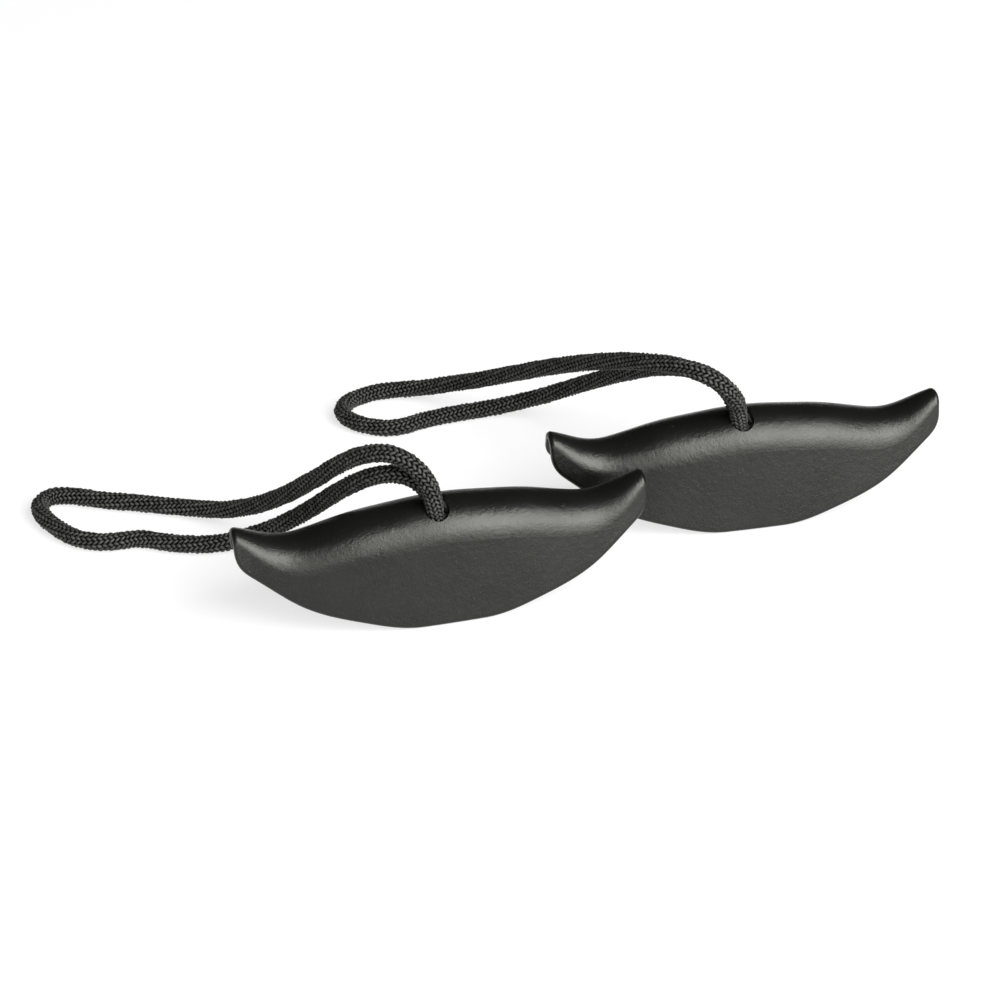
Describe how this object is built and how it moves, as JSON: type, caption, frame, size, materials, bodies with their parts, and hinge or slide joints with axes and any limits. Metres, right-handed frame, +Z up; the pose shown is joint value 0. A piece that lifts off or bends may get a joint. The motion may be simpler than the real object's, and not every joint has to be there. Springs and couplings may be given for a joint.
{
  "type": "wheel chock",
  "caption": "Saddle-shaped moulded plastic wheel chock with upturned horns and a knotted pull cord loop, laid out as a pair.",
  "frame": {"origin": "on the ground plane, under the middle of the box round both shells", "axes": "+X along the first chock towards the second one's side, +Z up, -Y towards the front flaps; the cords lie to the left and behind"},
  "size_m": [0.347, 0.1674, 0.0665],
  "materials": {
    "shell_plastic": "black moulded plastic with a fine satin grain",
    "braided_cord": "black knitted polyester braid, soft and dull"
  },
  "bodies": {
    "chock_1": {"chock_1_shell": "shell_plastic", "chock_1_cord": "braided_cord", "chock_1_knot": "braided_cord"},
    "chock_2": {"chock_2_shell": "shell_plastic", "chock_2_cord": "braided_cord", "chock_2_knot": "braided_cord"}
  },
  "joints": [
    {"name": "chock_2_slide_away", "type": "slide", "parent": "chock_1", "child": "chock_2", "axis": [1, 0, 0], "range_m": [0, 0.3]}
  ]
}
